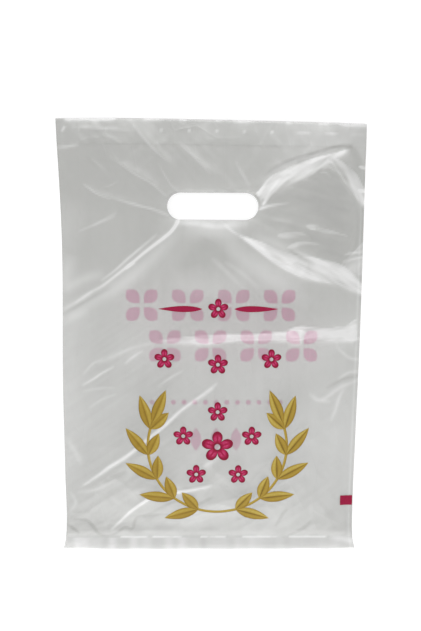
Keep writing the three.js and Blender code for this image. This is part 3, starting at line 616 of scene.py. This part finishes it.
def buildFilm(material):
    # A tube of film: across the front, round the right fold, back across, and round the left fold
    rowPlaces, rowInsets = filmRows()
    frontShare = np.linspace(0, 1, bag["frontColumns"] + 1)
    foldTurn = np.linspace(np.pi / 2, -np.pi / 2, bag["foldSteps"] + 2)[1:-1]
    backShare = backShares()
    nFront, nFold, nBack = len(frontShare), len(foldTurn), len(backShare)
    columns = nFront + nFold + nBack + nFold
    row, inset = np.meshgrid(rowPlaces, np.arange(columns), indexing="ij")[0], rowInsets[:, None]
    left = (leftEdge(rowPlaces) + bag["foldRound"])[:, None]
    right = (rightEdge(rowPlaces) - bag["foldRound"])[:, None]
    front = slice(0, nFront)
    rightFold = slice(nFront, nFront + nFold)
    back = slice(nFront + nFold, nFront + nFold + nBack)
    leftFold = slice(nFront + nFold + nBack, columns)
    x = np.empty(row.shape)
    x[:, front] = left + frontShare * (right - left)
    x[:, back] = left + backShare * (right - left)
    x[:, rightFold], x[:, leftFold] = right, left
    y = row.copy()
    inside = np.zeros(row.shape, bool)
    for part, step in ((front, 1.3), (back, 1.3)):  # near the hand hole, points move onto its outline
        away = stadiumDistance(x[:, part], y[:, part])
        dx = stadiumDistance(x[:, part] + 0.01, y[:, part]) - away
        dy = stadiumDistance(x[:, part], y[:, part] + 0.01) - away
        size = np.maximum(np.hypot(dx, dy), 1e-9)
        snapped = np.abs(away) < 0.5 * step
        x[:, part] -= np.where(snapped, away * dx / size, 0)
        y[:, part] -= np.where(snapped, away * dy / size, 0)
        inside[:, part] = (away < 0) & ~snapped
    z = np.zeros(row.shape)
    weld = 1 - 0.9 * np.minimum(1, nearSpots(x, y, spots["radius"]))
    z[:, front] = frontHeight(x[:, front], y[:, front]) - inset * weld[:, front]
    z[:, back] = backHeight(x[:, back], y[:, back]) + inset * weld[:, back]
    for part, beside, across, edge, way in ((rightFold, nFront - 1, nFront + nFold, right, 1),
                                            (leftFold, 0, columns - nFold - 1, left, -1)):
        top, low = z[:, beside][:, None], z[:, across][:, None]
        turn = foldTurn if way > 0 else foldTurn[::-1]
        bulge = np.maximum(bag["foldRound"] - inset, 0.12)
        x[:, part] = edge + way * bulge * np.cos(turn)
        z[:, part] = (top + low) / 2 + (top - low) / 2 * np.sin(turn)
    milkAndPaintedLight = np.zeros(row.shape)
    milkAndPaintedLight[:, front] = frontMilkAndPaintedLight(x[:, front], y[:, front])
    milkAndPaintedLight[:, back] = backMilk(x[:, back], y[:, back])
    # Painted highlight: the side folds a little whiter than the film beside them
    milkAndPaintedLight[:, rightFold] = milkAndPaintedLight[:, nFront - 1][:, None] + 0.15
    milkAndPaintedLight[:, leftFold] = milkAndPaintedLight[:, 0][:, None] + 0.15
    # The inner hem ply and the rim take one whiter tone, painted light for the light reaching the hem from the mouth
    milkAndPaintedLight[rowInsets > bag["hemGap"] / 2] = bag["hemPaintedLight"]
    points = np.stack([x, drooped(x, y), z], -1).reshape(-1, 3)
    faces = gridFaces(len(rowPlaces), columns, closed=True)
    kept = keptFaces(faces, inside.ravel())
    used = np.zeros(len(points), bool)
    used[np.concatenate([np.array(face) for face in kept])] = True
    number = np.cumsum(used) - 1
    kept = [tuple(number[list(face)]) for face in kept]
    piece = makePiece("carrier_bag_film", points[used], kept, material)
    addAttribute(piece, "milkAndPaintedLight", milkAndPaintedLight.ravel()[used])
    return piece



def newMaterial(name):
    material = bpy.data.materials.new(name)
    material.use_nodes = True
    nodes, links = material.node_tree.nodes, material.node_tree.links
    return material, nodes, links, nodes["Principled BSDF"]


def addRamp(nodes, stops):
    ramp = nodes.new("ShaderNodeValToRGB")
    elements = ramp.color_ramp.elements
    while len(elements) < len(stops):
        elements.new(0.5)
    for element, (place, colour) in zip(elements, stops):
        element.position = place
        element.color = (*colour, 1)
    return ramp


def addMath(nodes, links, operation, first, second):
    node = nodes.new("ShaderNodeMath")
    node.operation = operation
    for socket, value in zip(node.inputs, (first, second)):
        if isinstance(value, (int, float)):
            socket.default_value = value
        else:
            links.new(value, socket)
    return node.outputs[0]


def addNoise(nodes, links, vector, scale, detail=3, stretch=(1, 1, 1), turn=0):
    mapping = nodes.new("ShaderNodeMapping")
    mapping.inputs["Scale"].default_value = stretch
    mapping.inputs["Rotation"].default_value = (0, 0, math.radians(turn))
    links.new(vector, mapping.inputs["Vector"])
    noise = nodes.new("ShaderNodeTexNoise")
    noise.inputs["Scale"].default_value = scale
    noise.inputs["Detail"].default_value = detail
    links.new(mapping.outputs["Vector"], noise.inputs["Vector"])
    return noise.outputs["Fac"]


def addCreaseLines(nodes, links, coords):
    # Thin lines along the borders of stretched cells, exp(-distance / width), here and there
    mapping = nodes.new("ShaderNodeMapping")
    mapping.inputs["Scale"].default_value = (1, 0.4, 1)
    mapping.inputs["Rotation"].default_value = (0, 0, math.radians(38))
    links.new(coords, mapping.inputs["Vector"])
    cells = nodes.new("ShaderNodeTexVoronoi")
    cells.feature = "DISTANCE_TO_EDGE"
    cells.inputs["Scale"].default_value = 48
    links.new(mapping.outputs["Vector"], cells.inputs["Vector"])
    near = addMath(nodes, links, "EXPONENT", addMath(nodes, links, "MULTIPLY", cells.outputs["Distance"], -26), 0)
    patchy = addNoise(nodes, links, coords, 22, 2)
    return addMath(nodes, links, "MULTIPLY", near, patchy)


filmLook = {
    "dark": (0.25, 0.252, 0.235), "plain": (0.41, 0.414, 0.388), "white": (1, 1, 0.995),
    "alpha": 0.62, "roughness": 0.22, "specular": 1.0, "ior": 1.6, "bump": 0.2, "creaseBump": 0.5,
}


def filmMaterial():
    material, nodes, links, shader = newMaterial("milky film")
    milkAndPaintedLight = nodes.new("ShaderNodeAttribute")
    milkAndPaintedLight.attribute_name = "milkAndPaintedLight"
    coords = nodes.new("ShaderNodeTexCoord").outputs["Object"]
    cloud = addNoise(nodes, links, coords, 38, 4, (1, 0.45, 1), 20)
    drawn = addNoise(nodes, links, coords, 120, 2, (1, 0.06, 1))
    cloudy = addMath(nodes, links, "MULTIPLY", addMath(nodes, links, "SUBTRACT", cloud, 0.5), 0.12)
    lined = addMath(nodes, links, "MULTIPLY", addMath(nodes, links, "SUBTRACT", drawn, 0.5), 0.035)
    # The base colour takes the film's whiteness together with the painted highlight and shade carried by the attribute
    tone = addMath(nodes, links, "ADD", addMath(nodes, links, "ADD", cloudy, lined), milkAndPaintedLight.outputs["Fac"])
    place = addMath(nodes, links, "MULTIPLY_ADD", tone, 0.5)
    place.node.inputs[2].default_value = 0.4
    ramp = addRamp(nodes, [(0, filmLook["dark"]), (0.4, filmLook["plain"]), (0.9, filmLook["white"])])
    links.new(place, ramp.inputs["Fac"])
    links.new(ramp.outputs["Color"], shader.inputs["Base Color"])
    crinkle = addNoise(nodes, links, coords, 130, 4, (1, 0.4, 1), 40)
    bump = nodes.new("ShaderNodeBump")
    bump.inputs["Strength"].default_value = filmLook["bump"]
    bump.inputs["Distance"].default_value = 0.0006
    links.new(crinkle, bump.inputs["Height"])
    lines = addCreaseLines(nodes, links, coords)
    creased = nodes.new("ShaderNodeBump")
    creased.inputs["Strength"].default_value = filmLook["creaseBump"]
    creased.inputs["Distance"].default_value = 0.0003
    links.new(lines, creased.inputs["Height"])
    links.new(bump.outputs["Normal"], creased.inputs["Normal"])
    links.new(creased.outputs["Normal"], shader.inputs["Normal"])
    shader.inputs["Roughness"].default_value = filmLook["roughness"]
    shader.inputs["Specular IOR Level"].default_value = filmLook["specular"]
    shader.inputs["IOR"].default_value = filmLook["ior"]
    shader.inputs["Alpha"].default_value = filmLook["alpha"]
    return material


inkLook = {
    "gold": [(0, (0.14, 0.095, 0.02)), (0.4, (0.34, 0.21, 0.022)), (0.75, (0.46, 0.32, 0.05)), (1, (0.62, 0.5, 0.13))],
    "crimson": [(0, (0.13, 0.001, 0.018)), (0.35, (0.33, 0.002, 0.042)), (0.75, (0.47, 0.018, 0.1)), (1, (0.74, 0.14, 0.3))],
    "pale": [(0, (0.96, 0.06, 0.45)), (1, (1, 0.16, 0.6))],
    "roughness": 0.6, "specular": 0.25,
}


def inkMaterial(name, stops):
    # The ink's colour runs along a ramp by the piece's own shade, with a little mottling
    material, nodes, links, shader = newMaterial(name)
    shade = nodes.new("ShaderNodeAttribute")
    shade.attribute_name = "shade"
    coords = nodes.new("ShaderNodeTexCoord").outputs["Object"]
    grain = addNoise(nodes, links, coords, 700, 3)
    mottle = addMath(nodes, links, "MULTIPLY", addMath(nodes, links, "SUBTRACT", grain, 0.5), 0.22)
    ramp = addRamp(nodes, stops)
    links.new(addMath(nodes, links, "ADD", mottle, shade.outputs["Fac"]), ramp.inputs["Fac"])
    links.new(ramp.outputs["Color"], shader.inputs["Base Color"])
    shader.inputs["Roughness"].default_value = inkLook["roughness"]
    shader.inputs["Specular IOR Level"].default_value = inkLook["specular"]
    return material


film = filmMaterial()
filmPiece = buildFilm(film)
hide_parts("bag")
print("stage: the film has", len(filmPiece.data.polygons), "faces")



printing = {
    "right": 6, "lift": 0.12, "backLift": 0.06,
    "wreathRadius": 58, "wreathAboveSeal": 24, "wreathReach": 112, "stemWidth": 2.2,
    "outerLeaf": 30, "innerLeaf": 21, "leafWidth": 9.5, "leavesPerArm": 5, "leafSplay": 32,
    "blossom": 17, "bigBlossom": 27, "petals": 5,
    "ringBlossoms": 5, "ringRadius": 30, "rowBlossoms": 3, "rowPitch": 44, "rowSag": 9,
    "rowAboveWreath": 79, "dividerAboveWreath": 116, "dividerLength": 36, "dividerHeight": 5,
    "dividerSpace": 13, "markWidth": 10.5, "markHeight": 8.5, "markAboveSkirt": 43, "markInset": 1.5,
}
wreathX = printing["right"]
wreathY = sealY + printing["wreathAboveSeal"] + printing["wreathRadius"]


def onFront(x, y, lift):
    # Points of the print on the front, lifted just clear of the film
    return np.stack([x, drooped(x, y), frontHeight(x, y) + lift], -1)


def bladePatch(centre, direction, length, width, bend=0.4, steps=26, across=8):
    # A pointed blade: x = 2t(1-t) bend L + t^2 L along it, y = s 2t(1-t) W across it, for s from -1 to 1
    t, s = np.meshgrid(np.linspace(0.004, 0.996, steps), np.linspace(-1, 1, across + 1), indexing="ij")
    alongIt = length * (2 * t * (1 - t) * bend + t * t)
    acrossIt = s * 2 * t * (1 - t) * width
    c, sn = math.cos(direction), math.sin(direction)
    x, y = centre[0] + c * alongIt - sn * acrossIt, centre[1] + sn * alongIt + c * acrossIt
    return x, y, t, s


def joinPatches(name, patches, material, place=onFront):
    # Grids of print, each with its own lift and shade, as one piece
    points, faces, shades, start = [], [], [], 0
    for x, y, shade, lift, closed, flip in patches:
        rows, columns = x.shape
        part = place(x, y, lift).reshape(-1, 3)
        quads = gridFaces(rows, columns, closed)
        points.append(part)
        faces.append((quads[:, ::-1] if flip else quads) + start)
        shades.append(np.broadcast_to(shade, x.shape).ravel())
        start += len(part)
    piece = makePiece(name, np.concatenate(points), np.concatenate(faces).tolist(), material)
    addAttribute(piece, "shade", np.concatenate(shades))
    return piece


def leafShade(t, s, light):
    # Dark edge and midrib, light between them, lighter towards the tip
    halves = np.sin(np.pi * np.abs(s)) ** 0.7
    rib = np.exp(-(s / 0.1) ** 2) * (1 - t)
    return np.clip(0.3 + 0.45 * halves * mix(0.75, 1.1, t) + light * np.where(s > 0, 0.15, -0.08) - 0.3 * rib, 0, 1)


def wreathPatches():
    reach, bottom = math.radians(printing["wreathReach"]), -math.pi / 2
    radius, lift = printing["wreathRadius"], printing["lift"]
    angle, s = np.meshgrid(np.linspace(bottom - reach, bottom + reach, 260), np.linspace(-1, 1, 5), indexing="ij")
    away = radius + s * printing["stemWidth"] / 2
    stemShade = 0.5 + 0.25 * np.cos(np.pi * s / 2) - 0.2 * s
    patches = [(wreathX + away * np.cos(angle), wreathY + away * np.sin(angle), stemShade, lift, False, True)]

    def addLeaf(angle, direction, length, light, step):
        root = (wreathX + radius * math.cos(angle), wreathY + radius * math.sin(angle))
        x, y, t, s = bladePatch(root, direction, length, printing["leafWidth"])
        patches.append((x, y, leafShade(t, s, light), lift + 0.02 + 0.012 * step, False, True))

    count, splay = printing["leavesPerArm"], math.radians(printing["leafSplay"])
    for arm in (-1, 1):
        for pair in range(count):
            angleHere = bottom + arm * reach * (pair + 0.7) / count
            growth = angleHere + arm * math.pi / 2
            addLeaf(angleHere, growth - arm * splay, printing["outerLeaf"], arm, 2 * (pair % 2))
            addLeaf(angleHere, growth + arm * splay, printing["innerLeaf"], arm, 2 * (pair % 2) + 1)
        tip = bottom + arm * reach
        addLeaf(tip - arm * printing["stemWidth"] / (2 * radius), tip + arm * math.pi / 2,
                printing["outerLeaf"], arm, 4)
    return patches


def blossomPatch(centre, size):
    # Petals: the outline's radius goes with |cos(2.5 angle)|^0.7, and rings run from the open middle out to it
    petals = printing["petals"]
    angle, out = np.meshgrid(np.linspace(0, tau, petals * 36, endpoint=False), np.linspace(0, 1, 13), indexing="ij")
    lobe = np.abs(np.cos(petals * angle / 2)) ** 0.7
    outline = size / 2 * (0.4 + 0.6 * lobe)
    radius = mix(size / 11, outline, out)
    x = centre[0] + radius * np.cos(angle + math.pi / 2)
    y = centre[1] + radius * np.sin(angle + math.pi / 2)
    vein = np.exp(-(np.sin(petals * angle / 2) / 0.16) ** 2) * smoothStep(out, 0.15, 0.3) * (1 - smoothStep(out, 0.5, 0.8))
    edge = smoothStep(out, 0.6, 0.85)
    heart = 1 - smoothStep(out, 0.1, 0.35)
    between = (1 - lobe) ** 2
    shade = 0.8 - 0.6 * edge - 0.6 * heart - 0.5 * vein - 0.6 * between
    return x.T, y.T, np.clip(shade, 0, 1).T


goldInk = inkMaterial("gold ink", inkLook["gold"])
crimsonInk = inkMaterial("crimson ink", inkLook["crimson"])
paleInk = inkMaterial("back ink", inkLook["pale"])

wreath = joinPatches("wreath_ink", wreathPatches(), goldInk)
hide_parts("print_wreath")

dividerX, dividerY = wreathX, wreathY + printing["dividerAboveWreath"]
for side, name in ((-1, "left"), (1, "right")):
    root = (dividerX + side * printing["dividerSpace"], dividerY)
    x, y, t, s = bladePatch(root, 0 if side > 0 else math.pi, printing["dividerLength"], printing["dividerHeight"], 0.3, 40)
    shade = 0.3 + 0.12 * np.cos(np.pi * s / 2)
    line = joinPatches("divider_ink_" + name, [(x, y, shade, printing["lift"], False, True)], crimsonInk)
    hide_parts("print_divider_" + name)

blossoms = [((dividerX, dividerY), printing["blossom"]), ((wreathX, wreathY), printing["bigBlossom"])]
for k in range(printing["ringBlossoms"]):
    turn = math.pi / 2 + tau * k / printing["ringBlossoms"]
    away = printing["ringRadius"]
    blossoms.append(((wreathX + away * math.cos(turn), wreathY + away * math.sin(turn)), printing["blossom"]))
for k in range(printing["rowBlossoms"]):
    off = k - (printing["rowBlossoms"] - 1) / 2
    sag = printing["rowSag"] * math.cos(math.pi * off / printing["rowBlossoms"])
    centre = (wreathX + off * printing["rowPitch"], wreathY + printing["rowAboveWreath"] - sag)
    blossoms.append((centre, printing["blossom"]))
for number, (centre, size) in enumerate(blossoms, 1):
    x, y, shade = blossomPatch(centre, size)
    patch = (x, y, shade, printing["lift"], True, False)
    blossom = joinPatches("blossom_ink_%d" % number, [patch], crimsonInk)
    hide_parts("print_blossom_%d" % number)

markLow = skirtY + printing["markAboveSkirt"] - printing["markHeight"] / 2
across, up = np.meshgrid(np.linspace(0, 1, 12), np.linspace(0, 1, 10))
markY = markLow + up * printing["markHeight"]
markRight = rightEdge(markY) - bag["foldRound"]
markX = markRight - (1 - across) * printing["markWidth"]
mark = joinPatches("register_mark_ink", [(markX, markY, 0.34, printing["lift"], False, False)],
                   crimsonInk)
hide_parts("print_register_mark")
print("stage: the print is on the front")

backPrint = {
    "rosettes": [(-57, 30), (-19, 30), (19, 30), (57, 30), (-38, -4), (0, -4), (38, -4), (76, -4)],
    "petals": 4, "petalLength": 15, "petalWidth": 11, "dotRow": -52, "dots": 13, "dotPitch": 9, "dotRadius": 2.1,
    "lozenges": [(-12, -84), (5, -84), (22, -84)], "lozengeLength": 20, "lozengeWidth": 9,
    "middle": 5,
}


def onBack(x, y, lift):
    # Points of the print on the back: the ink shows on both sides of the clear film
    return np.stack([x, y, backHeight(x, y) + lift], -1)


def ringPatch(centre, inner, outer, steps=72):
    # A flat ring: the radius runs from inner to outer, and the angle once round
    angle, out = np.meshgrid(np.linspace(0, tau, steps, endpoint=False), np.linspace(0, 1, 4), indexing="ij")
    radius = mix(inner, outer, out)
    return (centre[0] + radius * np.cos(angle)).T, (centre[1] + radius * np.sin(angle)).T


def backPatches():
    patches, lift = [], printing["backLift"]
    for centre in backPrint["rosettes"]:
        for k in range(backPrint["petals"]):
            turn = tau * (k + 0.5) / backPrint["petals"]
            start = (centre[0] + 2.6 * math.cos(turn), centre[1] + 2.6 * math.sin(turn))
            x, y, _, _ = bladePatch(start, turn, backPrint["petalLength"], backPrint["petalWidth"], 0.6)
            patches.append((x, y, 0.5, lift, False, True))
    for k in range(backPrint["dots"]):
        place = (backPrint["middle"] + (k - (backPrint["dots"] - 1) / 2) * backPrint["dotPitch"], backPrint["dotRow"])
        x, y = ringPatch(place, 0.05, backPrint["dotRadius"], 20)
        patches.append((x, y, 0.5, lift, True, False))
    for middle in backPrint["lozenges"]:
        start = (middle[0], middle[1] - backPrint["lozengeLength"] / 2)
        x, y, _, _ = bladePatch(start, math.pi / 2, backPrint["lozengeLength"], backPrint["lozengeWidth"], 0.5)
        patches.append((x, y, 0.5, lift, False, True))
    outside = [(x, y, shade, -lift, closed, not flip) for x, y, shade, lift, closed, flip in patches]
    return patches + outside


joinPatches("back_ink", backPatches(), paleInk, onBack)
print("stage: the print is on the back")



def makeFloor():
    mesh = bpy.data.meshes.new("floor")
    reach = 3
    mesh.from_pydata([(-reach, -reach, 0), (reach, -reach, 0), (reach, reach, 0), (-reach, reach, 0)], [], [(0, 1, 2, 3)])
    floor = bpy.data.objects.new("floor", mesh)
    bpy.context.scene.collection.objects.link(floor)
    floor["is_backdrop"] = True
    material, nodes, links, shader = newMaterial("white floor")
    shader.inputs["Base Color"].default_value = (0.6, 0.6, 0.6, 1)
    shader.inputs["Roughness"].default_value = 1
    shader.inputs["Specular IOR Level"].default_value = 0
    rays = nodes.new("ShaderNodeLightPath").outputs
    seen = addMath(nodes, links, "MAXIMUM", rays["Is Camera Ray"], rays["Is Glossy Ray"])
    seen = addMath(nodes, links, "MAXIMUM", seen, rays["Is Transmission Ray"])
    shader.inputs["Emission Color"].default_value = (1, 1, 1, 1)
    links.new(addMath(nodes, links, "MULTIPLY", seen, 0.62), shader.inputs["Emission Strength"])
    mesh.materials.append(material)


lighting = {
    "sky": 0.5,
    "key": {"place": (0.0, -1.3, 0.75), "wide": 1.8, "tall": 1.0, "power": 11},
    "topPanel": {"place": (0.0, 0.5, 1.1), "wide": 1.2, "tall": 0.18, "power": 2.2},
    "lowPanel": {"place": (0.0, -0.85, 1.1), "wide": 1.2, "tall": 0.18, "power": 0.9},
    "rim": {"place": (-0.5, 1.0, 0.6), "wide": 0.3, "tall": 0.3, "power": 1.6},
}


def makeLights():
    world = bpy.data.worlds.new("studio")
    bpy.context.scene.world = world
    world.use_nodes = True
    nodes, links = world.node_tree.nodes, world.node_tree.links
    rays = nodes.new("ShaderNodeLightPath").outputs
    seen = addMath(nodes, links, "MAXIMUM", rays["Is Camera Ray"], rays["Is Glossy Ray"])
    seen = addMath(nodes, links, "MAXIMUM", seen, rays["Is Transmission Ray"])
    strength = addMath(nodes, links, "MULTIPLY_ADD", seen, 1 - lighting["sky"])
    strength.node.inputs[2].default_value = lighting["sky"]
    nodes["Background"].inputs["Color"].default_value = (1, 1, 1, 1)
    links.new(strength, nodes["Background"].inputs["Strength"])
    for name in ("key", "topPanel", "lowPanel", "rim"):
        facts = lighting[name]
        lamp = bpy.data.lights.new(name, "AREA")
        lamp.shape, lamp.energy = "RECTANGLE", facts["power"]
        lamp.size, lamp.size_y = facts["wide"], facts["tall"]
        light = bpy.data.objects.new(name, lamp)
        bpy.context.scene.collection.objects.link(light)
        light.location = facts["place"]
        aim = -light.location
        light.rotation_euler = aim.to_track_quat("-Z", "Y").to_euler()


view = {"place": (-0.0092, 0.0943, 0.6), "turn": (-6.92, -0.83, 0.28), "focalPixels": 728.9, "imageHeight": 631}


def makeCamera():
    lens = bpy.data.cameras.new("camera")
    lens.sensor_fit, lens.sensor_height = "VERTICAL", 36
    lens.sensor_width = 36
    lens.lens = view["focalPixels"] / view["imageHeight"] * 36
    camera = bpy.data.objects.new("camera", lens)
    camera.location = view["place"]
    camera.rotation_euler = [math.radians(angle) for angle in view["turn"]]
    bpy.context.scene.collection.objects.link(camera)
    bpy.context.scene.camera = camera


makeFloor()
makeLights()
makeCamera()
bpy.context.scene.view_settings.view_transform = "Standard"
print("stage: floor, lights and camera are set")

sizes = {"cad": [list(corner) for corner in cadBox], "visual": [list(corner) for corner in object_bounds()]}
